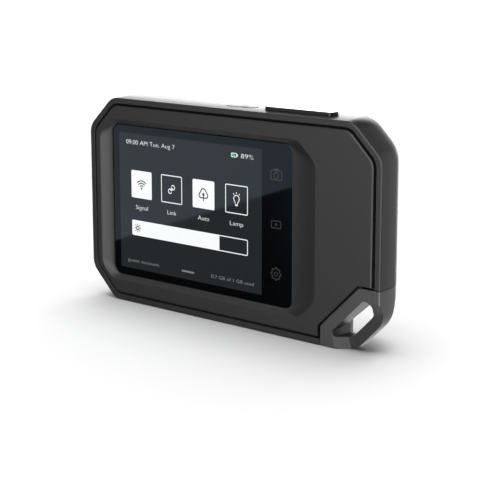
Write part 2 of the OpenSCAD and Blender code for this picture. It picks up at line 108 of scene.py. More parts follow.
def cut_rect(x0, x1, z0, z1, legs, r, n=8):
    a, b, c, d = legs
    return rounded([(x0 + a, z0), (x1 - b, z0), (x1, z0 + b), (x1, z1 - c),
                    (x1 - c, z1), (x0 + d, z1), (x0, z1 - d), (x0, z0 + a)], r, n)


def round_rect(x0, x1, z0, z1, r, n=8):
    leg = r * (2 - math.sqrt(2)) + 0.06
    return cut_rect(x0, x1, z0, z1, (leg,) * 4, r, n)


def arc_in(y, r, start, w):
    t = max(0.0, y - start)
    return r - math.sqrt(max(0.01, (r - w) ** 2 - t * t))


def edge_soft(y, w):
    t = max(0.0, y - (Y_BACK - EDGE_R))
    return 0.0 if w > 0 else EDGE_R - math.sqrt(max(0.0, EDGE_R ** 2 - t * t))


def section(y, w=0.0, e=0.0, n=8):
    ix = arc_in(y, SIDE_R, SIDE_START, w) + edge_soft(y, w) + e
    iz = arc_in(y, TOP_R, TOP_START, w) + edge_soft(y, w) + e
    leg = CORNER_LEG - (2 - math.sqrt(2)) * (ix + iz) / 2
    r = max(1.5, CORNER_R + CORNER_SPREAD * max(0.0, y - Y_BAND) - (ix + iz) / 4)
    return cut_rect(-HW + ix, HW - ix, iz, BODY_H - iz, (leg,) * 4, r, n)


def ring(y, w=0.0, e=0.0, n=8):
    return [(x, y, z) for x, z in section(y, w, e, n)]


def skin_ring(y, e=0.0):
    """Ring of the outer skin, whose top edge is slightly crowned from front to back."""
    drop = CROWN * (y - CROWN_Y) ** 2 if y < CROWN_Y + 6 else CROWN * 36
    return [(x, y, z - drop * min(1.0, max(0.0, (z - BODY_H + 14) / 12))) for x, z in section(y, 0.0, e)]


def at_y(points, y):
    return [(x, y, z) for x, z in points]


def grow(points, g):
    """Outline moved outwards by g, for a counter-clockwise outline."""
    m, out = len(points), []
    for i in range(m):
        a, b, c = (Vector(points[j % m]) for j in (i - 1, i, i + 1))
        n1 = Vector(((b - a).y, -(b - a).x)).normalized()
        n2 = Vector(((c - b).y, -(c - b).x)).normalized()
        nn = (n1 + n2).normalized()
        out.append(tuple(b + nn * (g / max(0.3, nn.dot(n1)))))
    return out


# ---------------------------------------------------------------- mesh tools
def new_object(name, verts, faces):
    me = bpy.data.meshes.new(name)
    bm = bmesh.new()
    vs = [bm.verts.new([c * MM for c in v]) for v in verts]
    for f in faces:
        bm.faces.new([vs[i] for i in f])
    bmesh.ops.remove_doubles(bm, verts=bm.verts, dist=1e-7)
    bmesh.ops.recalc_face_normals(bm, faces=bm.faces)
    bm.to_mesh(me)
    bm.free()
    o = bpy.data.objects.new(name, me)
    bpy.context.scene.collection.objects.link(o)
    return o


def loft(name, rings, close=False):
    n, m = len(rings[0]), len(rings)
    verts = [p for r in rings for p in r]
    faces = [(k * n + i, k * n + (i + 1) % n, (k + 1) % m * n + (i + 1) % n, (k + 1) % m * n + i)
             for k in range(m if close else m - 1) for i in range(n)]
    if not close:
        faces += [tuple(reversed(range(n))), tuple(range((m - 1) * n, m * n))]
    return new_object(name, verts, faces)


def slab(name, points, y0, y1, flare0=0.0, flare1=0.0):
    """Prism along Y. A flare widens an end over its own depth, which leaves a chamfer where it cuts."""
    rings = []
    if flare0:
        rings.append(at_y(grow(points, 2 * flare0), y0 - flare0))
        rings.append(at_y(points, y0 + flare0))
    else:
        rings.append(at_y(points, y0))
    if flare1:
        rings.append(at_y(points, y1 - flare1))
        rings.append(at_y(grow(points, 2 * flare1), y1 + flare1))
    else:
        rings.append(at_y(points, y1))
    return loft(name, rings)


def circle(cx, cz, r, n=48):
    return [(cx + r * math.cos(2 * math.pi * i / n), cz + r * math.sin(2 * math.pi * i / n))
            for i in range(n)]


def pill(x, y, length, width, r, n=8):
    hx, hy = length / 2, width / 2
    r = min(r, hy - 0.01)
    return rounded([(x - hx, y - hy), (x + hx, y - hy), (x + hx, y + hy), (x - hx, y + hy)], r, n)


def upright(name, outline, steps):
    """Solid through copies of an outline in X and Y: steps are (z, growth)."""
    return loft(name, [[(x, y, z) for x, y in grow(outline, g)] for z, g in steps])


def turned(name, at, profile, n=64, axis="Y"):
    """Revolved closed profile of (radius, distance along the axis)."""
    rings = []
    for i in range(n):
        a = 2 * math.pi * i / n
        c, s = math.cos(a), math.sin(a)
        if axis == "Y":
            rings.append([(at[0] + r * c, d, at[1] + r * s) for r, d in profile])
        else:
            rings.append([(at[0] + r * c, at[1] + r * s, d) for r, d in profile])
    return loft(name, rings, close=True)


def dome(name, at, r, d_edge, d_top, d_back, n=64, steps=10):
    """Lens with a spherical cap on the +Y side."""
    sag = d_top - d_edge
    big = (r * r + sag * sag) / (2 * sag)
    rings = [at_y(circle(at[0], at[1], r, n), d_back)]
    for i in range(steps):
        rr = r * math.cos(math.pi / 2 * i / steps)
        rings.append(at_y(circle(at[0], at[1], rr, n),
                          d_edge + math.sqrt(big * big - rr * rr) - (big - sag)))
    return loft(name, rings)


def apply_mods(o):
    dg = bpy.context.evaluated_depsgraph_get()
    me = bpy.data.meshes.new_from_object(o.evaluated_get(dg))
    o.modifiers.clear()
    o.data = me


def carve(o, cutters, op="DIFFERENCE"):
    for c in cutters:
        m = o.modifiers.new("carve", "BOOLEAN")
        m.operation, m.solver, m.object = op, "EXACT", c
    bpy.context.view_layer.update()
    apply_mods(o)
    for c in cutters:
        bpy.data.objects.remove(c)
    return o


def join(name, objs):
    bm = bmesh.new()
    for o in objs:
        bm.from_mesh(o.data)
        bpy.data.objects.remove(o)
    me = bpy.data.meshes.new(name)
    bm.to_mesh(me)
    bm.free()
    o = bpy.data.objects.new(name, me)
    bpy.context.scene.collection.objects.link(o)
    return o


def soften(o, width, angle=35, segments=2):
    m = o.modifiers.new("soften", "BEVEL")
    m.width, m.segments, m.limit_method, m.angle_limit = width * MM, segments, "ANGLE", math.radians(angle)
    m.use_clamp_overlap, m.harden_normals = True, False
    apply_mods(o)


def clean(o):
    bm = bmesh.new()
    bm.from_mesh(o.data)
    bmesh.ops.remove_doubles(bm, verts=bm.verts, dist=2e-6)
    bmesh.ops.dissolve_degenerate(bm, dist=2e-6, edges=bm.edges)
    bmesh.ops.recalc_face_normals(bm, faces=bm.faces)
    bm.to_mesh(o.data)
    bm.free()


def piece(o, material, body, slot, *nodes, angle=32, weighted=True):
    """Finish a visible piece: material, shading, body and the CAD nodes that it stands for. The slot
    argument is not used.
    """
    o.data.materials.clear()
    o.data.materials.append(material)
    for p in o.data.polygons:
        p.use_smooth, p.material_index = True, 0
    o.data.set_sharp_from_angle(angle=math.radians(angle))
    if weighted:
        m = o.modifiers.new("normals", "WEIGHTED_NORMAL")
        m.keep_sharp, m.weight = True, 80
    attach(o, body)
    if nodes:
        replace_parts(o, *nodes)
    return o


# ---------------------------------------------------------------- materials
class Look:
    """A Principled material whose colour, roughness and surface come from noise at real scales."""

    def __init__(self, name, color, rough=0.5, metallic=0.0, coat=0.0, coat_rough=0.05, ior=1.5,
                 sheen=0.0, emission=None, strength=0.0, specular=0.5, tint=(1, 1, 1)):
        self.m = bpy.data.materials.new(name)
        self.m.use_nodes = True
        self.t = self.m.node_tree
        self.b = self.t.nodes["Principled BSDF"]
        s = self.b.inputs
        self.color, self.rough = color, rough
        s["Base Color"].default_value = (*color, 1)
        s["Roughness"].default_value = rough
        s["Metallic"].default_value = metallic
        s["Coat Weight"].default_value = coat
        s["Coat Roughness"].default_value = coat_rough
        s["IOR"].default_value = ior
        s["Sheen Weight"].default_value = sheen
        s["Specular IOR Level"].default_value = specular
        s["Specular Tint"].default_value = (*tint, 1)
        if emission:
            s["Emission Color"].default_value = (*emission, 1)
            s["Emission Strength"].default_value = strength
        self.coord = self.add("ShaderNodeTexCoord")
        self.height = None

    def add(self, kind, **props):
        n = self.t.nodes.new(kind)
        for k, v in props.items():
            setattr(n, k, v)
        return n

    def link(self, a, b):
        self.t.links.new(a, b)

    def noise(self, size_mm, detail=3.0, stretch=(1, 1, 1)):
        mp = self.add("ShaderNodeMapping")
        mp.inputs["Scale"].default_value = stretch
        self.link(self.coord.outputs["Object"], mp.inputs["Vector"])
        n = self.add("ShaderNodeTexNoise")
        n.inputs["Scale"].default_value = 1000.0 / size_mm
        n.inputs["Detail"].default_value = detail
        self.link(mp.outputs["Vector"], n.inputs["Vector"])
        return n.outputs["Fac"]

    def ramp(self, fac, lo, hi, a=0.3, b=0.7):
        r = self.add("ShaderNodeMapRange")
        r.inputs["From Min"].default_value, r.inputs["From Max"].default_value = a, b
        r.inputs["To Min"].default_value, r.inputs["To Max"].default_value = lo, hi
        self.link(fac, r.inputs["Value"])
        return r.outputs["Result"]

    def vary_color(self, size_mm, amount=0.12, detail=3.0, stretch=(1, 1, 1)):
        mix = self.add("ShaderNodeMix", data_type="RGBA")
        mix.inputs["A"].default_value = (*[c * (1 - amount) for c in self.color], 1)
        mix.inputs["B"].default_value = (*[min(1, c * (1 + amount)) for c in self.color], 1)
        self.link(self.ramp(self.noise(size_mm, detail, stretch), 0, 1), mix.inputs["Factor"])
        self.link(mix.outputs["Result"], self.b.inputs["Base Color"])
        return self

    def vary_rough(self, size_mm, amount=0.08, detail=4.0, stretch=(1, 1, 1)):
        self.link(self.ramp(self.noise(size_mm, detail, stretch), self.rough - amount, self.rough + amount),
                  self.b.inputs["Roughness"])
        return self

    def bump(self, fac, depth_mm):
        n = self.add("ShaderNodeBump")
        n.inputs["Strength"].default_value = 1.0
        n.inputs["Distance"].default_value = depth_mm * MM
        self.link(fac, n.inputs["Height"])
        if self.height:
            self.link(self.height, n.inputs["Normal"])
        self.height = n.outputs["Normal"]
        self.link(self.height, self.b.inputs["Normal"])
        return self

    def grain(self, size_mm, depth_mm, detail=2.0, stretch=(1, 1, 1)):
        return self.bump(self.noise(size_mm, detail, stretch), depth_mm)


def moulded(name, color, rough=0.5, grain=0.0025, size=0.32, uneven=0.05, **kw):
    return Look(name, color, rough, **kw).vary_color(9, uneven).vary_rough(4, uneven).grain(size, grain).m


def metal(name, color, rough=0.3, stretch=(1, 1, 18), **kw):
    look = Look(name, color, rough, metallic=1.0, **kw)
    look = look.vary_color(5, 0.08).vary_rough(0.8, 0.08, stretch=stretch)
    return look.grain(0.25, 0.001, stretch=stretch).m


MAT = {
    "case": moulded("case_plastic_look", (0.015, 0.0149, 0.0147), 0.41, grain=0.0009, uneven=0.012),
    "loop": moulded("loop_plastic_look", (0.025, 0.025, 0.025), 0.36, grain=0.0007, uneven=0.012,
                    specular=1.0),
    "key": moulded("key_gloss_look", (0.006, 0.006, 0.0065), 0.16, grain=0.0004),
    "panel": moulded("panel_gloss_look", (0.004, 0.004, 0.005), 0.09, grain=0.0002, coat=0.6),
    "rubber": moulded("soft_rubber_look", (0.014, 0.014, 0.0145), 0.72, grain=0.006, size=0.22),
    "barrel": moulded("barrel_black_look", (0.014, 0.014, 0.015), 0.34, grain=0.001, metallic=0.6),
    # Near-black rubber with little reflection: the gasket's own colour, and where its lip fills the seam,
    # painted shade.
    "seal_with_painted_seam_shade": moulded("seal_rubber_and_painted_seam_shade_look", (0.0015, 0.0015, 0.0015), 0.6, grain=0.002, size=0.3,
                    specular=0.06),
    "brass": metal("brass_look", (0.62, 0.42, 0.13), 0.3),
    "dark_steel": metal("dark_steel_look", (0.08, 0.08, 0.085), 0.34),
    "plate_label": moulded("label_grey_look", (0.085, 0.087, 0.09), 0.42, grain=0.0008),
    "icon": moulded("icon_print_look", (0.01, 0.01, 0.01), 0.5, grain=0.0005),
}
GLASS_TINT = (0.6, 0.82, 1.0)
glass = Look("cover_glass_look", (0.0016, 0.002, 0.0028), 0.03, ior=1.52, tint=GLASS_TINT)
MAT["glass"] = glass.vary_rough(14, 0.012).grain(30, 0.0006).m
ir = Look("infrared_glass_look", (0.24, 0.17, 0.22), 0.08, metallic=0.85)
MAT["infrared"] = ir.vary_color(3, 0.2).vary_rough(3, 0.02).m
cam = Look("camera_glass_look", (0.01, 0.016, 0.035), 0.02, coat=1.0, coat_rough=0.02)
MAT["camera_glass"] = cam.vary_color(1.2, 0.4).vary_rough(2, 0.008).m
lamp = Look("lamp_glass_look", (0.86, 0.88, 0.9), 0.12, coat=0.8)
MAT["lamp_glass"] = lamp.vary_color(2, 0.04).vary_rough(1, 0.03).m


def screen_look(name, color, strength):
    look = Look(name, (0.002, 0.0025, 0.003), 0.03, emission=color, strength=strength, ior=1.52,
                tint=GLASS_TINT)
    mix = look.add("ShaderNodeMix", data_type="RGBA")
    mix.inputs["A"].default_value = (*[c * 0.985 for c in color], 1)
    mix.inputs["B"].default_value = (*[c * 1.015 for c in color], 1)
    look.link(look.ramp(look.noise(6, 2), 0, 1), mix.inputs["Factor"])
    look.link(mix.outputs["Result"], look.b.inputs["Emission Color"])
    return look.vary_rough(14, 0.012).m


MAT["lcd"] = screen_look("lcd_back_look", (0.0165, 0.0192, 0.0212), 1.0)
MAT["ui_white"] = screen_look("lcd_white_look", (0.95, 0.97, 0.98), 1.0)
MAT["ui_text"] = screen_look("lcd_text_look", (0.95, 0.97, 0.98), 1.15)
MAT["ui_grey"] = screen_look("lcd_grey_look", (0.2, 0.21, 0.22), 1.0)
MAT["ui_dim"] = screen_look("lcd_dim_look", (0.22, 0.225, 0.235), 1.0)
MAT["ui_faint"] = screen_look("lcd_faint_look", (0.038, 0.04, 0.042), 1.0)
MAT["ui_green"] = screen_look("lcd_green_look", (0.014, 0.62, 0.2), 1.0)
MAT["ui_dark"] = screen_look("lcd_dark_look", (0.004, 0.005, 0.006), 1.0)

# ---------------------------------------------------------------- camera, floor, light
cam_data = bpy.data.cameras.new("camera")
cam_data.lens, cam_data.sensor_width, cam_data.shift_y = 97.23, 36.0, -0.1
cam_data.clip_start, cam_data.clip_end = 0.01, 50.0
camera = bpy.data.objects.new("camera", cam_data)
camera.location = (0.3148, -0.3781, 0.1384)
camera.rotation_euler = (math.radians(90 - 10.763), 0, math.radians(39.514))
bpy.context.scene.collection.objects.link(camera)
bpy.context.scene.camera = camera


def soft_sky(tree, coord, base, lights):
    """Brightness by direction: a base level and round lights, (azimuth, elevation, full, none, strength)."""
    total = base
    for azimuth, elevation, full, none, strength in lights:
        a, e = math.radians(azimuth), math.radians(elevation)
        dot = tree.nodes.new("ShaderNodeVectorMath")
        dot.operation = "DOT_PRODUCT"
        dot.inputs[1].default_value = (math.cos(a) * math.cos(e), math.sin(a) * math.cos(e), math.sin(e))
        tree.links.new(coord, dot.inputs[0])
        r = tree.nodes.new("ShaderNodeMapRange")
        r.interpolation_type = "SMOOTHSTEP"
        r.inputs["From Min"].default_value = math.cos(math.radians(none))
        r.inputs["From Max"].default_value = math.cos(math.radians(full))
        r.inputs["To Min"].default_value, r.inputs["To Max"].default_value = 0.0, strength
        tree.links.new(dot.outputs["Value"], r.inputs["Value"])
        add = tree.nodes.new("ShaderNodeMath")
        add.operation = "ADD"
        tree.links.new(r.outputs["Result"], add.inputs[0])
        if isinstance(total, float):
            add.inputs[1].default_value = total
        else:
            tree.links.new(total, add.inputs[1])
        total = add.outputs[0]
    return total


def emitter(name, color, strength, lights=()):
    m = bpy.data.materials.new(name)
    m.use_nodes = True
    t = m.node_tree
    t.nodes.clear()
    e, out = t.nodes.new("ShaderNodeEmission"), t.nodes.new("ShaderNodeOutputMaterial")
    e.inputs["Color"].default_value, e.inputs["Strength"].default_value = (*color, 1), strength
    if lights:
        c, unit = t.nodes.new("ShaderNodeTexCoord"), t.nodes.new("ShaderNodeVectorMath")
        unit.operation = "NORMALIZE"
        t.links.new(c.outputs["Object"], unit.inputs[0])
        t.links.new(soft_sky(t, unit.outputs["Vector"], strength, lights), e.inputs["Strength"])
    t.links.new(e.outputs["Emission"], out.inputs["Surface"])
    return m


def stage_mesh(name, verts, faces, material):
    me = bpy.data.meshes.new(name)
    me.from_pydata(verts, [], faces)
    me.materials.append(material)
    o = bpy.data.objects.new(name, me)
    bpy.context.scene.collection.objects.link(o)
    return o


floor_look = Look("floor_look", (0.86, 0.86, 0.86), 0.8, specular=0.0)
floor = stage_mesh("floor", [(-6, -6, 0), (6, -6, 0), (6, 6, 0), (-6, 6, 0)], [(0, 1, 2, 3)],
                   floor_look.vary_rough(400, 0.05).m)
floor.visible_glossy = False


def sky_dome(name, radius, material):
    bm = bmesh.new()
    bmesh.ops.create_uvsphere(bm, u_segments=48, v_segments=24, radius=radius)
    me = bpy.data.meshes.new(name)
    bm.to_mesh(me)
    bm.free()
    me.materials.append(material)
    o = bpy.data.objects.new(name, me)
    bpy.context.scene.collection.objects.link(o)
    material.cycles.emission_sampling = "NONE"
    o.visible_camera = o.visible_diffuse = o.visible_glossy = False
    o.visible_shadow = o.visible_transmission = False
    return o


# Not a physical set-up: the camera sees a white surround, reflections see a dark studio with soft
# lights, and the world lights only diffuse surfaces. Lights are as soft_sky takes them.
STUDIO_BASE, SKY_BASE, CARD_STRENGTH = 0.03, 0.08, 0.62
STUDIO_LIGHTS = [
    (276, 7, 12, 49, 3.6),
    (127, -4, 6, 30, 7.3),
    (50, 0, 15, 60, 0.7),
    (100, -48, 10, 32, 0.9),
    (230, 70, 20, 50, 0.8),
    (230, -88, 20, 54, 0.7)]
SKY_LIGHTS = [(0, 90, 16, 38, 3.7), (115, 50, 12, 40, 1.6)]
sky_dome("white_surround", 9, emitter("white_surround_look", (1, 1, 1), 1.0)).visible_camera = True
studio = sky_dome("studio_reflections", 8,
                  emitter("studio_reflections_look", (1, 1, 1), STUDIO_BASE, STUDIO_LIGHTS))
studio.visible_glossy = studio.visible_transmission = True

# Card whose edge makes the slanted reflection on the glass.
CAM = Vector((314.8, -378.1, 138.4))


def mirrored(x, z, dist):
    p = Vector((x, Y_GLASS, z))
    d = (p - CAM).normalized()
    d.y = -d.y
    return tuple((p + d * dist) * MM)


card = stage_mesh("glare_card",
                  [mirrored(-110, 4.5, 700), mirrored(60, 65.3, 700), mirrored(60, 150, 700),
                   mirrored(-110, 150, 700)],
                  [(0, 1, 2, 3)], emitter("glare_card_look", (1, 1, 1), CARD_STRENGTH))
card.visible_diffuse = card.visible_camera = card.visible_shadow = False

world = bpy.data.worlds.new("studio")
bpy.context.scene.world = world
world.use_nodes = True
bg = world.node_tree.nodes["Background"]
above = world.node_tree.nodes.new("ShaderNodeTexCoord").outputs["Generated"]
sky_level = soft_sky(world.node_tree, above, SKY_BASE, SKY_LIGHTS)
world.node_tree.links.new(sky_level, bg.inputs["Strength"])
world.cycles_visibility.glossy = world.cycles_visibility.transmission = False
bg.inputs["Color"].default_value = (1, 1, 1, 1)
bpy.context.scene.view_settings.view_transform = "Standard"


# ---------------------------------------------------------------- shared cutting shapes
def loop_outline(g):
    k, far, r = g * (math.sqrt(2) - 1), 20, LOOP_R + g
    return rounded([(LOOP_X - g, -far), (HW + far, -far), (HW + far, LOOP_TOP + g),
                    (LOOP_TOP + LOOP_LINE - k, LOOP_TOP + g), (LOOP_X - g, LOOP_X - LOOP_LINE + k)],
                   [0.01, 0.01, 0.01, r, r], 6)


def loop_zone(g, y0=-14.0, y1=14.0, chamfer=0.0, face=Y_BAND):
    rings = [at_y(loop_outline(g), y0), at_y(loop_outline(g), y1)]
    if chamfer:
        rings = [at_y(loop_outline(g + chamfer + face - y0), y0), at_y(loop_outline(g), face + chamfer),
                 at_y(loop_outline(g), y1)]
    return loft("zone", rings)


def box(x0, x1, y0, y1, z0, z1):
    return slab("box", [(x0, z0), (x1, z0), (x1, z1), (x0, z1)], y0, y1)


def outer_skin():
    rings = [skin_ring(Y_BAND + depth, e) for depth, e in EDGE]
    rings += [skin_ring(SIDE_START + (Y_BACK - EDGE_R - SIDE_START) * i / 22) for i in range(23)]
    rings += [skin_ring(Y_BACK - EDGE_R * (1 - math.sin(math.pi / 2 * i / 5))) for i in range(1, 6)]
    return loft("skin", rings)


def inner_space():
    y1 = Y_BACK - 1.8
    rings = [ring(Y_BAND - 0.3, WALL - 0.5), ring(Y_BAND + 0.2, WALL), ring(SIDE_START, WALL)]
    rings += [ring(SIDE_START + (y1 - SIDE_START) * i / 10, WALL) for i in range(1, 11)]
    return loft("space", rings)


def key_cutter(k, r):
    x, y, length, width = k
    o = pill(x, y, length + 0.4, width + 0.4, r)
    return upright("cut", o, [(BODY_H - WALL - 2, 0), (BODY_H - 0.18, 0), (BODY_H + 0.5, 0.68)])


# Space behind the bar: (depth behind it, X of its left wall, rise of its slanted side, Z of its top).
SCOOP = [(0, 50.9, 0, 10), (2, 50.2, 1.1, 15), (4.5, 49.2, 2.4, 18.6), (8, 46.7, 3.9, 20.6),
         (17, 40.6, 6.2, 21.8)]


def scoop_at(d):
    """Left wall, rise and top of the space at depth d, on a smooth curve."""
    k = next(i for i in range(len(SCOOP) - 1) if d <= SCOOP[i + 1][0])
    p0, p1, p2, p3 = SCOOP[max(0, k - 1)], SCOOP[k], SCOOP[k + 1], SCOOP[min(len(SCOOP) - 1, k + 2)]
    h = p2[0] - p1[0]
    t = (d - p1[0]) / h
    out = []
    for j in (1, 2, 3):
        m1 = (p2[j] - p0[j]) / (p2[0] - p0[0]) * h
        m2 = (p3[j] - p1[j]) / (p3[0] - p1[0]) * h
        out.append((2 * t ** 3 - 3 * t ** 2 + 1) * p1[j] + (t ** 3 - 2 * t ** 2 + t) * m1
                   + (3 * t ** 2 - 2 * t ** 3) * p2[j] + (t ** 3 - t ** 2) * m2)
    return out


def scoop_step(d):
    left, rise, top = scoop_at(d)
    far_x = HW + OUTSIDE
    corners = [(left, -4), (far_x, -4), (far_x, top), (SLOT_LO - rise + top, top),
               (left, left - SLOT_LO + rise)]
    return [(x, BAR_BACK + d, z) for x, z in corners]


SCOOP_STEP, SCOOP_STEPS = 0.5, 35


def bar_scoop():
    return loft("cut", [scoop_step(d * SCOOP_STEP) for d in range(SCOOP_STEPS)])


# ---------------------------------------------------------------- rear shell
hollow = carve(inner_space(),
               [loop_zone(LOOP_GAP / 2 + 2, PLATE_BACK + 0.05),
                box(-70, WELL_X + 1.4, -6.05, 3.6, USB_Z - 11, USB_Z + 11)])
z0, z1 = USB_Z - COVER_LEN / 2 - 0.3, USB_Z + COVER_LEN / 2 + 0.3
pin_hole = upright("pin", circle(PIN_X, COVER_Y0, PIN_R + 0.4, 32), [(z0, 0), (z1, 0)])
pocket = box(-72, WELL_X, COVER_Y0, COVER_Y1 + 0.3, z0, z1)
mouth = box(WELL_X - 1, WELL_X + 3, USB_Y - 1.8, USB_Y + 1.8, USB_Z - 4.7, USB_Z + 4.7)
panel_out = cut_rect(-57, -16.5, 45, 69.6, (4, 4, 4, 6), 1.5)
pad_out = cut_rect(-6, 51, 15, 65, (4, 16, 4, 4), 2)
label_out = round_rect(-52, -16, 15, 36, 1.5)
cutters = [hollow, loop_zone(0, chamfer=0.2), key_cutter(SAVE, 1.4), key_cutter(POWER, 2.6),
           pocket, pin_hole, mouth, bar_scoop(),
           slab("cut", grow(panel_out, 0.1), Y_BACK - 0.6, Y_BACK, 0, 0.15),
           slab("cut", grow(pad_out, 0.1), Y_BACK - 0.4, Y_BACK, 0, 0.15),
           slab("cut", grow(label_out, 0.1), Y_BACK - 0.25, Y_BACK, 0, 0.12),
           slab("cut", circle(*IR_AT, 6.3), 5, 12), slab("cut", circle(*CAM_AT, 3.5), 5, 12),
           slab("cut", circle(*LAMP_AT, 3.7), 5, 12),
           upright("cut", circle(0, -0.4, 4.52), [(-1, 1.2), (0.2, 0), (2.4, 0)])]
for sx, sz in SCREWS:
    cutters.append(slab("cut", circle(sx, sz, 2.3), 8.9, Y_BACK, 0, 0.2))
shell = carve(outer_skin(), cutters)
clean(shell)
shell.name = "rear_shell_detailed"
piece(shell, MAT["case"], "case", "case_plastic", "rear_shell")

# ---------------------------------------------------------------- front plate
n = 10
inset = BAND + SEAM
far = cut_rect(*RIM, (5.5, 7, 8, 6), RIM_R, n)
near = round_rect(GLASS[0] - 0.25, GLASS[1] + 0.25, GLASS[2] - 0.25, GLASS[3] + 0.25, GLASS_R + 0.25, n)


def between(t):
    return [(a[0] + (b[0] - a[0]) * t, a[1] + (b[1] - a[1]) * t) for a, b in zip(far, near)]


rings = [ring(PLATE_BACK, 0, inset, n)]
rings += [ring(Y_RIM + depth, 0, inset + e, n) for depth, e in reversed(EDGE)]
# The recess falls steeply at its rim and flattens towards the glass, where its edge is rounded.
fall, lip, soft_rim = 1.5, 0.4, 0.07
rings.append(at_y(between(-0.01), Y_RIM))
for i in range(25):
    t = (i / 24) ** 1.5 * 0.985
    eased = t * t / (t + soft_rim * (1 - t))
    rings.append(at_y(between(t), Y_RIM + 0.01 + fall * (1 - (1 - eased) ** 1.5)))
for i in range(1, 5):
    a = math.pi / 2 * i / 4
    rings.append(at_y(grow(near, lip - 0.1 - lip * math.sin(a)),
                      Y_RIM + fall + 0.01 + lip * (1 - math.cos(a))))
rings.append(at_y(grow(near, -0.1), PLATE_BACK))
plate = loft("front_plate_detailed", rings, close=True)
carve(plate, [loop_zone(SEAM, chamfer=0.22, face=Y_RIM)])
clean(plate)
piece(plate, MAT["case"], "case", "case_plastic", "front_plate")


# ---------------------------------------------------------------- lanyard corner
def slot_outline(t):
    lo, hi = SLOT_LO, SLOT_HI
    return rounded([(lo + SLOT_TIP + t, SLOT_TIP + t), (SLOT_END + t, SLOT_BOTTOM),
                    (hi + SLOT_BOTTOM, SLOT_BOTTOM),
                    (SLOT_RIGHT, SLOT_RIGHT - hi), (SLOT_RIGHT, SLOT_TOP), (lo + SLOT_TOP, SLOT_TOP)],
                   [0.6, 0.4, 1.5, 2.5, 2.2, 0.8], 6)


BAR_LEAN, BAR_LEAN_Z = 0.05, 1.2  # lean in Y of the bar's face per mm in X, and the factor on it for Z
BAR_PIVOT_X, BAR_PIVOT_Z = 53.6, 5.5


def relief_step(y, t):
    """Outline of the step in front of the bar: t is 0 at the face of the case, 1 at the leaning bar."""
    far_x, low, run, drop = HW + OUTSIDE, 49.4, 4.2, 4
    lean = BAR_LEAN if t == 1 else 0.0
    corners = [(low + t * run, 5.5), (low + 2.2 + t * run, -4), (far_x, -4),
               (far_x, SLOT_TOP - t * drop), (low + 13.6 + t * run, SLOT_TOP - t * drop)]
    return [(x, y - lean * (x - BAR_PIVOT_X + BAR_LEAN_Z * (z - BAR_PIVOT_Z)), z) for x, z in corners]


loop = carve(outer_skin(), [loop_zone(-LOOP_GAP / 2, -13, Y_BACK - 0.5)], "INTERSECT")
slot_steps = ((-13, 0), (Y_BAND, 0), (BAR_BACK, SLOT_TAPER), (13, SLOT_TAPER))
slot_hole = loft("cut", [at_y(slot_outline(t), y) for y, t in slot_steps])
carve(loop, [slot_hole, loft("cut", [relief_step(-12.4, -0.9 / 3.5), relief_step(-8, 1)]), bar_scoop()])
clean(loop)
soften(loop, 0.4, 28, 3)
loop.name = "lanyard_loop_detailed"
piece(loop, MAT["loop"], "case", "loop_plastic", "lanyard_loop", angle=40)


# ---------------------------------------------------------------- seal, whose near-black lip fills the seam as painted shade
def seal_ring(inset, y):
    return at_y(section(-10, inset), y)


# The U-shaped lip lines both walls of the seam to just behind the front faces, so the seam reads black:
# painted shade.
seal_with_painted_seam_shade = loft("seal_with_painted_seam_shade", [seal_ring(i, y) for i, y in [
    (2.53, -11.4), (2.6, -11.47), (3.13, -11.47), (3.2, -11.4), (3.2, -9.58), (4.4, -9.58), (4.4, -8.85),
    (2.53, -8.85)]], close=True)
carve(seal_with_painted_seam_shade, [loop_zone(LOOP_GAP / 2 + 2.1)])
clean(seal_with_painted_seam_shade)
seal_with_painted_seam_shade.name = "case_gasket_and_painted_seam_shade"
piece(seal_with_painted_seam_shade, MAT["seal_with_painted_seam_shade"], "case", "foam_rubber", "case_gasket")

# ---------------------------------------------------------------- cover glass and its picture
gx = round_rect(*GLASS, GLASS_R, 12)
glass_piece = loft("touch_glass_detailed",
                   [at_y(gx, Y_GLASS + 0.9), at_y(gx, Y_GLASS + 0.22),
                    at_y(grow(gx, -0.07), Y_GLASS + 0.06),
                    at_y(grow(gx, -0.22), Y_GLASS)])
piece(glass_piece, MAT["glass"], "case", "cover_glass", "touch_glass")

LAYER = {"lcd": 0.03, "ui_white": 0.05, "ui_text": 0.05, "ui_grey": 0.05, "ui_dim": 0.05, "ui_faint": 0.05,
         "ui_green": 0.07, "ui_dark": 0.07}
ui = {k: [] for k in LAYER}


def flat(layer, points):
    ui[layer].append(slab("ui", points, Y_GLASS - LAYER[layer], Y_GLASS + 0.02))


def frame_of(layer, x0, x1, z0, z1, w, r=0.5):
    outer = round_rect(x0, x1, z0, z1, r, 4)
    inner = round_rect(x0 + w, x1 - w, z0 + w, z1 - w, max(0.1, r - w), 4)
    y = Y_GLASS - LAYER[layer]
    ui[layer].append(loft("ui", [at_y(outer, Y_GLASS + 0.02), at_y(outer, y), at_y(inner, y),
                                 at_y(inner, Y_GLASS + 0.02)], close=True))


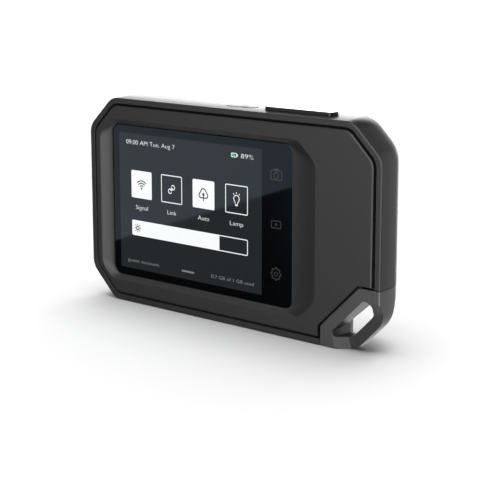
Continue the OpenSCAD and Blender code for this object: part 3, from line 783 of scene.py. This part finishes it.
def stroke(layer, pts, w, closed=False):
    """Ribbon of width w along a line of points."""
    m, left, right = len(pts), [], []
    for i in range(m):
        a = Vector(pts[i - 1] if (i or closed) else pts[0])
        b, c = Vector(pts[i]), Vector(pts[(i + 1) % m] if (i < m - 1 or closed) else pts[-1])
        d1, d2 = (b - a), (c - b)
        d1 = d1.normalized() if d1.length > 1e-9 else d2.normalized()
        d2 = d2.normalized() if d2.length > 1e-9 else d1
        nn = Vector((-(d1 + d2).y, (d1 + d2).x)).normalized()
        k = w / 2 / max(0.5, nn.dot(Vector((-d1.y, d1.x))))
        left.append(tuple(b + nn * k))
        right.append(tuple(b - nn * k))
    y0, y1 = Y_GLASS - LAYER[layer], Y_GLASS + 0.02
    if closed:
        ui[layer].append(loft("ui", [at_y(left, y1), at_y(left, y0), at_y(right, y0), at_y(right, y1)],
                              close=True))
    else:
        rings = [[(p[0], y0, p[1]), (p[0], y1, p[1]), (q[0], y1, q[1]), (q[0], y0, q[1])]
                 for p, q in zip(left, right)]
        ui[layer].append(loft("ui", rings))


def arc(cx, cz, r, a0, a1, steps=12):
    return [(cx + r * math.cos(math.radians(a0 + (a1 - a0) * i / steps)),
             cz + r * math.sin(math.radians(a0 + (a1 - a0) * i / steps))) for i in range(steps + 1)]


def words(layer, text, x0, x1, z0, cap, spacing=1.0, thin=0.02):
    """Lettering fitted between x0 and x1, with its baseline at z0 and capitals cap high."""
    cu = bpy.data.curves.new("ui", "FONT")
    cu.body, cu.size, cu.extrude, cu.space_character, cu.resolution_u = text, 1.0, 0.5, spacing, 6
    cu.offset = -thin
    o = bpy.data.objects.new("ui", cu)
    bpy.context.scene.collection.objects.link(o)
    bpy.context.view_layer.update()
    me = bpy.data.meshes.new_from_object(o.evaluated_get(bpy.context.evaluated_depsgraph_get()))
    bpy.data.objects.remove(o)
    xs = [v.co.x for v in me.vertices]
    sx = (x1 - x0) / (max(xs) - min(xs))
    y0, y1 = Y_GLASS - LAYER[layer], Y_GLASS + 0.02
    for v in me.vertices:
        x, y, z = v.co
        v.co = Vector((x0 + (x - min(xs)) * sx, y0 if z > 0 else y1, z0 + y * cap / 0.73)) * MM
    bm = bmesh.new()
    bm.from_mesh(me)
    bmesh.ops.remove_doubles(bm, verts=bm.verts, dist=1e-7)
    bm.to_mesh(me)
    bm.free()
    o = bpy.data.objects.new("ui", me)
    bpy.context.scene.collection.objects.link(o)
    ui[layer].append(o)


flat("lcd", round_rect(-54.28, 16.83, 13.44, 66.74, 0.3, 2))
TILES = [-42.65, -26.97, -10.92, 5.05]
TZ0, TZ1 = 41.8, 52.5
for i, tx in enumerate(TILES):
    if i % 2:
        frame_of("ui_white", tx - 5.35, tx + 5.35, TZ0, TZ1, 0.34)
    else:
        flat("ui_white", round_rect(tx - 5.35, tx + 5.35, TZ0, TZ1, 0.45, 4))
tz = (TZ0 + TZ1) / 2
# signal fan
for r in (1.2, 2.15, 3.1):
    stroke("ui_dark", arc(TILES[0], tz - 1.55, r, 42, 138), 0.42)
flat("ui_dark", circle(TILES[0], tz - 1.45, 0.42, 16))
# two linked rings, for a short-range link
stroke("ui_white", arc(TILES[1] - 0.75, tz - 0.75, 0.85, 0, 330, 16), 0.34)
stroke("ui_white", arc(TILES[1] + 0.75, tz + 0.75, 0.85, 180, 510, 16), 0.34)
stroke("ui_white", [(TILES[1] - 0.5, tz - 0.5), (TILES[1] + 0.5, tz + 0.5)], 0.34)
# cloud with an arrow up
cx = TILES[2]
cloud = arc(cx, tz + 0.9, 1.25, 20, 160, 8) + arc(cx - 1.15, tz - 0.35, 1.0, 120, 290, 8)
cloud += arc(cx + 1.15, tz - 0.35, 1.0, 250, 420, 8)
stroke("ui_dark", cloud, 0.46, closed=True)
stroke("ui_dark", [(cx, tz - 2.5), (cx, tz + 0.2)], 0.42)
flat("ui_dark", [(cx - 0.85, tz - 0.35), (cx + 0.85, tz - 0.35), (cx, tz + 0.75)])
# lamp bulb
cx = TILES[3]
stroke("ui_white", arc(cx, tz + 0.25, 1.3, -50, 230, 20), 0.32)
stroke("ui_white", [(cx - 0.82, tz - 0.75), (cx - 0.55, tz - 1.6)], 0.32)
stroke("ui_white", [(cx + 0.82, tz - 0.75), (cx + 0.55, tz - 1.6)], 0.32)
flat("ui_white", round_rect(cx - 0.6, cx + 0.6, tz - 2.4, tz - 1.75, 0.12, 3))
for a in (90, 52, 128):
    u = Vector((math.cos(math.radians(a)), math.sin(math.radians(a))))
    p, q = Vector((cx, tz + 0.25)) + u * 1.85, Vector((cx, tz + 0.25)) + u * 2.45
    stroke("ui_white", [tuple(p), tuple(q)], 0.3)
words("ui_text", "Signal", TILES[0] - 3.2, TILES[0] + 3.2, 37.35, 1.75)
words("ui_text", "Link", TILES[1] - 2.2, TILES[1] + 2.2, 37.35, 1.75)
words("ui_text", "Auto", TILES[2] - 2.75, TILES[2] + 2.75, 37.35, 1.75)
words("ui_text", "Lamp", TILES[3] - 3.1, TILES[3] + 3.1, 37.35, 1.75)
# brightness bar
frame_of("ui_white", -47.96, 10.4, 26.9, 32.9, 0.34, 0.5)
flat("ui_white", [(-47.7, 27.1), (-3.24, 27.1), (-3.24, 32.7), (-47.7, 32.7)])
sun = (-45.0, 29.9)
stroke("ui_dark", arc(*sun, 0.68, 0, 337.5, 15), 0.42, closed=True)
for i in range(8):
    u = Vector((math.cos(i * math.pi / 4), math.sin(i * math.pi / 4)))
    stroke("ui_dark", [tuple(Vector(sun) + u * 1.15), tuple(Vector(sun) + u * 1.75)], 0.4)
# status line
words("ui_text", "09:00 AM Tue, Aug 7", -50.5, -25.2, 62.55, 1.8)
frame_of("ui_white", 2.55, 5.3, 62.55, 64.15, 0.28, 0.35)
flat("ui_white", round_rect(5.3, 5.75, 62.95, 63.75, 0.12, 2))
flat("ui_green", [(3.05, 62.98), (4.35, 62.98), (4.35, 63.72), (3.05, 63.72)])
words("ui_text", "89%", 7.2, 13.0, 62.55, 1.75)
words("ui_dim", "guest account", -50.6, -33.9, 16.1, 1.35, thin=0.008)
words("ui_dim", "0.7 GB of 1 GB used", -7.3, 13.2, 16.1, 1.35, thin=0.008)
flat("ui_grey", round_rect(-22.2, -15.8, 16.15, 16.85, 0.3, 4))
# side strip
sx = 23.4
frame_of("ui_faint", sx - 2.6, sx + 2.6, 56.2, 59.9, 0.35, 0.5)
stroke("ui_faint", arc(sx, 58.0, 1.05, 0, 337.5, 15), 0.32, closed=True)
flat("ui_faint", round_rect(sx - 1.1, sx + 1.1, 59.9, 60.45, 0.12, 2))
frame_of("ui_faint", sx - 2.25, sx + 2.25, 38.85, 41.75, 0.33, 0.3)
flat("ui_faint", [(sx - 0.45, 39.6), (sx + 0.65, 40.3), (sx - 0.45, 41.0)])
stroke("ui_faint", arc(sx, 22.3, 0.75, 0, 337.5, 15), 0.3, closed=True)
teeth = []
for i in range(8):
    for a, r in ((-12, 1.85), (-7, 2.3), (7, 2.3), (12, 1.85)):
        t = math.radians(45 * i + a)
        teeth.append((sx + r * math.cos(t), 22.3 + r * math.sin(t)))
stroke("ui_faint", teeth, 0.32, closed=True)
for layer, objs in ui.items():
    piece(join("screen_" + layer, objs), MAT[layer], "case", "display_black", weighted=False)

# ---------------------------------------------------------------- keys
x, y, length, width = SAVE
under = BODY_H - WALL
o = pill(x, y, length, width, 1.2)
top = BODY_H + 1.3
parts = [upright("key", o,
                 [(under - 0.2, 0), (top - 0.3, 0), (top - 0.12, -0.06), (top - 0.03, -0.16), (top, -0.32),
                            (top - 0.02, -0.9)]),
         upright("key", pill(x, y, length + 2.4, width + 0.9, 1.5), [(under - 0.85, 0), (under - 0.05, 0)]),
         upright("key", pill(x, y, 5, 3, 1), [(under - 3, 0), (under - 0.8, 0)])]
piece(join("save_key_detailed", parts), MAT["key"], "save_button", "key_gloss", "save_key")
x, y, length, width = POWER
o = pill(x, y, length, width, 2.39, 12)
top = BODY_H + 0.1
parts = [upright("key", o, [(under - 0.2, 0), (top - 0.4, 0), (top - 0.12, -0.12), (top, -0.4)]),
         upright("key", pill(x, y, length + 2.4, width + 0.9, 2.69),
                 [(under - 0.85, 0), (under - 0.05, 0)]),
         upright("key", pill(x, y, 5, 3, 1), [(under - 3, 0), (under - 0.8, 0)])]
piece(join("power_key_detailed", parts), MAT["case"], "power_button", "case_plastic", "power_key")
marks = []
ic = (x + 1.4, y)
ring_pts = arc(*ic, 1.25, 125, 415, 24)
for pts in (ring_pts, [(ic[0], ic[1] + 0.2), (ic[0], ic[1] + 1.7)]):
    left, right = [], []
    for i, p in enumerate(pts):
        a, b = Vector(pts[max(0, i - 1)]), Vector(pts[min(len(pts) - 1, i + 1)])
        d = (b - a).normalized()
        left.append(Vector(p) + Vector((-d.y, d.x)) * 0.2)
        right.append(Vector(p) - Vector((-d.y, d.x)) * 0.2)
    marks.append(loft("mark", [[(p.x, p.y, top + 0.02), (p.x, p.y, top - 0.05), (q.x, q.y, top - 0.05),
                                (q.x, q.y, top + 0.02)] for p, q in zip(left, right)]))
piece(join("power_mark", marks), MAT["icon"], "power_button", "key_gloss", weighted=False)

# ---------------------------------------------------------------- socket cover
ys = [COVER_Y0 + 0.3 + (COVER_Y1 - COVER_Y0 - 0.3) * i / 14 for i in range(15)]
prof = [(-HW + arc_in(v, SIDE_R, SIDE_START, 0), v) for v in ys]
prof += [(WELL_X - 0.6, COVER_Y1), (WELL_X - 0.05, COVER_Y1 - 0.8), (WELL_X - 0.05, COVER_Y0 + 0.8),
         (PIN_X, COVER_Y0 + 0.3)]
z0, z1 = USB_Z - COVER_LEN / 2, USB_Z + COVER_LEN / 2
cover = loft("cover", [[(px, py, z) for px, py in prof] for z in (z0, z1)])
notch_outline = [(p[0], p[1]) for p in rounded(
    [(-70, USB_Z - 3.2), (-66.35, USB_Z - 2.4), (-66.35, USB_Z + 2.4), (-70, USB_Z + 3.2)], 0.3, 3)]
notch = loft("cut", [at_y(notch_outline, v) for v in (COVER_Y1 - 0.7, COVER_Y1 + 1)])
carve(cover, [notch])
soften(cover, 0.12, 35, 2)
parts = [cover,
         upright("pin", circle(PIN_X, COVER_Y0, PIN_R, 32),
                 [(z0, -0.12), (z0 + 0.12, 0), (z1 - 0.12, 0), (z1, -0.12)])]
plug = pill(USB_Y - 0.3, USB_Z, 2.2, 7.8, 1.0)
parts.append(loft("plug", [[(px, py, pz) for py, pz in grow(plug, g)] for px, g in
                           ((WELL_X - 0.2, 0), (WELL_X + 0.8, 0), (WELL_X + 1, -0.2))]))
piece(join("usb_cover_detailed", parts), MAT["rubber"], "socket_cover", "soft_rubber", "usb_cover")

# ---------------------------------------------------------------- lens side
IR_HOLE, CAM_HOLE, LAMP_HOLE = 6.15, 3.35, 3.55
panel = loft("panel",
             [at_y(panel_out, Y_BACK - 0.57), at_y(panel_out, Y_PANEL - 0.3),
              at_y(grow(panel_out, -0.09), Y_PANEL - 0.09),
                       at_y(grow(panel_out, -0.3), Y_PANEL)])
carve(panel, [slab("cut", circle(*IR_AT, IR_HOLE), 5, Y_PANEL, 0, 0.2),
              slab("cut", circle(*CAM_AT, CAM_HOLE), 5, Y_PANEL, 0, 0.15),
              slab("cut", circle(*LAMP_AT, LAMP_HOLE), 5, Y_PANEL, 0, 0.15)])
clean(panel)
panel.name = "lens_panel_detailed"
piece(panel, MAT["panel"], "case", "panel_gloss", "lens_panel")

ridges = []
for i in range(6):
    d, r = 11.05 - i * 0.22, 5.0 - i * 0.05
    ridges += [(r, d), (r - 0.1, d - 0.11)]
prof = [(4.3, 5.1), (6.0, 5.1), (6.0, 11.4), (5.86, 11.72), (5.6, 11.88), (5.3, 11.88),
        (5.12, 11.7)] + ridges + [(4.3, 9.8)]
piece(turned("infrared_barrel_detailed", IR_AT, prof), MAT["barrel"], "case", "barrel_black",
      "infrared_barrel")
piece(dome("infrared_lens_detailed", IR_AT, 4.24, 9.5, 10.18, 8.0), MAT["infrared"], "case",
      "infrared_glass", "infrared_lens")
prof = [(1.6, 7.45), (3.2, 7.45), (3.2, 11.4), (3.1, 11.6), (2.9, 11.69), (2.7, 11.69), (2.55, 11.5),
        (2.5, 11.3), (2.2, 11.2),
        (2.15, 11.0), (1.85, 10.9), (1.8, 10.75), (1.6, 10.7)]
piece(turned("camera_barrel_detailed", CAM_AT, prof), MAT["barrel"], "case", "barrel_black",
      "camera_barrel")
piece(dome("camera_lens_detailed", CAM_AT, 1.57, 10.3, 10.68, 9.0), MAT["camera_glass"], "case",
      "camera_glass", "camera_lens")
prof = [(0.0001, 9.1), (3.4, 9.1), (3.4, 11.6), (3.25, 11.78), (3.0, 11.78)]
for i in range(7):
    r = 2.8 - i * 0.36
    prof += [(r, 11.55), (r - 0.06, 11.72), (r - 0.3, 11.58)]
prof.append((0.0001, 11.62))
piece(turned("lamp_lens_detailed", LAMP_AT, prof), MAT["lamp_glass"], "case", "lamp_glass", "lamp_lens",
      angle=50)

pad = loft("pad",
           [at_y(pad_out, Y_BACK - 0.38), at_y(pad_out, Y_PANEL - 0.4),
            at_y(grow(pad_out, -0.09), Y_PANEL - 0.19),
                   at_y(grow(pad_out, -0.3), Y_PANEL - 0.1)])
grooves = []
for i in range(9):
    gx0 = i * 5.5
    lowest = 19 + max(0, i - 6) * 5.5
    o = rounded([(gx0, lowest), (gx0 + 1.6, lowest), (gx0 + 1.6, 61), (gx0, 61)], 0.79, 6)
    grooves.append(loft("cut",
                        [at_y(o, Y_PANEL - 0.45), at_y(o, Y_PANEL - 0.25),
                         at_y(grow(o, 0.35), Y_PANEL + 0.1)]))
carve(pad, grooves)
clean(pad)
pad.name = "grip_pad_detailed"
piece(pad, MAT["rubber"], "case", "soft_rubber", "grip_pad")

tag = loft("tag",
           [at_y(label_out, Y_BACK - 0.24), at_y(label_out, Y_BACK - 0.1),
            at_y(grow(label_out, -0.08), Y_BACK - 0.05)])
tag.name = "rating_label_detailed"
piece(tag, MAT["plate_label"], "case", "label_grey", "rating_label")

heads = []
for sx, sz in SCREWS:
    prof = [(0.0001, -9.3), (0.9, -9.3), (0.97, -9.0), (0.97, 8.92), (2.1, 8.92), (2.1, 10.2),
            (1.95, 10.42), (1.6, 10.58),
            (1.1, 10.62), (0.0001, 10.62)]
    s = turned("screw", (sx, sz), prof, 40)
    star = []
    for i in range(12):
        r, a = (1.0, 0.78)[i % 2], math.radians(30 * i + sx)
        star.append((sx + r * math.cos(a), sz + r * math.sin(a)))
    carve(s, [slab("cut", star, 9.6, 11)])
    heads.append(s)
screws = join("case_screws_detailed", heads)
clean(screws)
piece(screws, MAT["dark_steel"], "case", "dark_steel", "case_screws")

threads = []
for i in range(13):
    z = 0.5 + i * 0.45
    threads += [(2.56, z), (2.9, z + 0.22)]
prof = [(4.5, 0.25), (4.5, 7.45), (0.0001, 7.45), (0.0001, 6.5),
        (2.56, 6.5)] + threads[::-1] + [(3.0, 0.0), (4.25, 0.0)]
piece(turned("tripod_bush_detailed", (0, -0.4), prof, 64, "Z"), MAT["brass"], "case", "brass",
      "tripod_bush", angle=25)

# ---------------------------------------------------------------- carried-over CAD nodes
board = Look("board_green_look", (0.012, 0.09, 0.04), 0.38, coat=0.3)
board = board.vary_color(1.1, 0.5, 6).vary_rough(0.6, 0.12).grain(0.9, 0.02).m
CARRIED = {
    "foam_rubber": moulded("foam_rubber_look", (0.012, 0.012, 0.012), 0.85, grain=0.02, size=0.35),
    "display_black": moulded("display_back_look", (0.02, 0.022, 0.024), 0.25, grain=0.0004),
    "pressed_metal": metal("pressed_metal_look", (0.5, 0.51, 0.53), 0.35),
    "cast_frame": metal("cast_frame_look", (0.55, 0.56, 0.58), 0.5, (1, 1, 1)),
    "board_green": board,
    "plated_steel": metal("plated_steel_look", (0.68, 0.69, 0.71), 0.28),
    "chip_black": moulded("chip_black_look", (0.013, 0.013, 0.015), 0.55),
    "amber_film": moulded("amber_film_look", (0.45, 0.16, 0.02), 0.28, grain=0.001),
    "connector_ivory": moulded("connector_ivory_look", (0.66, 0.62, 0.52), 0.45),
    "battery_wrap": moulded("battery_wrap_look", (0.03, 0.065, 0.14), 0.36, grain=0.004, size=1.4,
                            metallic=0.3),
    "cable_red": moulded("cable_red_look", (0.32, 0.013, 0.013), 0.45),
    "core_metal": metal("core_metal_look", (0.16, 0.165, 0.175), 0.45, (1, 1, 1)),
    "led_yellow": moulded("led_yellow_look", (0.88, 0.72, 0.2), 0.4),
    "board_white": moulded("board_white_look", (0.7, 0.72, 0.74), 0.35),
}
replaced = {n for o in bpy.context.scene.objects if "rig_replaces" in o for n in o["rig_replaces"]}
for sub in frame["record"]["subparts"]:
    node, slot = sub["node"], sub["material_slot"]
    if node in replaced:
        continue
    o = NODES[node]
    look = CARRIED[slot]
    if not o.material_slots:
        o.data.materials.append(look)
    for s in o.material_slots:
        s.material = look

bpy.context.view_layer.update()
